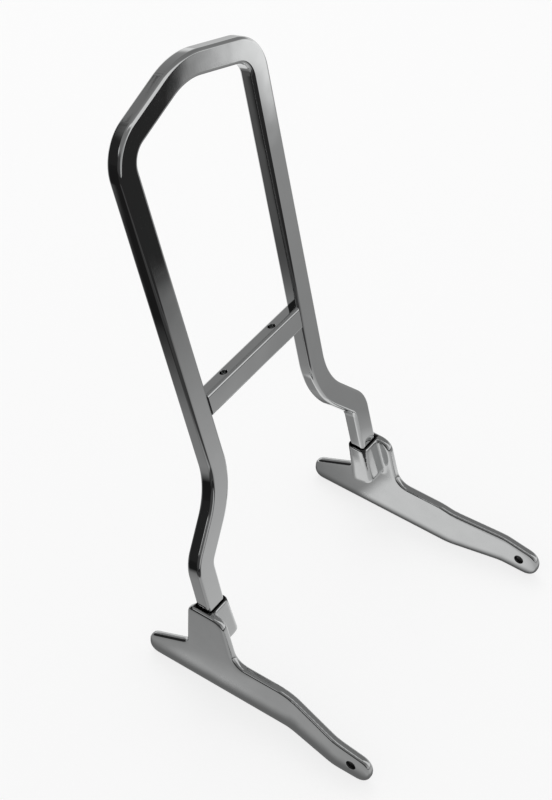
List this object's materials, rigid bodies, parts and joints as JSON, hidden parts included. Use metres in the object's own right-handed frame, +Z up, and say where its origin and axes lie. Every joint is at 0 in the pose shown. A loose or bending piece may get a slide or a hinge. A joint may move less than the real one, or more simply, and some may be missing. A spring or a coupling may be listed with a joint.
{
  "type": "sissy bar",
  "caption": "Chromed motorcycle sissy bar: a leaning, peaked square-edged hoop with a crossbar, seated in cast side plates that bolt to the struts.",
  "frame": {"origin": "on the floor under the middle of the part's box", "axes": "+Z up, -Y towards the front of the motorcycle, +X to the rider's left"},
  "size_m": [0.2796, 0.3014, 0.512],
  "materials": {
    "chrome_plated_bar": "polished chrome plate on steel bar",
    "chrome_plated_casting": "polished chrome plate on a cast plate"
  },
  "bodies": {
    "root": {"hoop": "chrome_plated_bar", "crossbar": "chrome_plated_bar", "left_side_plate": "chrome_plated_casting", "right_side_plate": "chrome_plated_casting"}
  },
  "joints": []
}
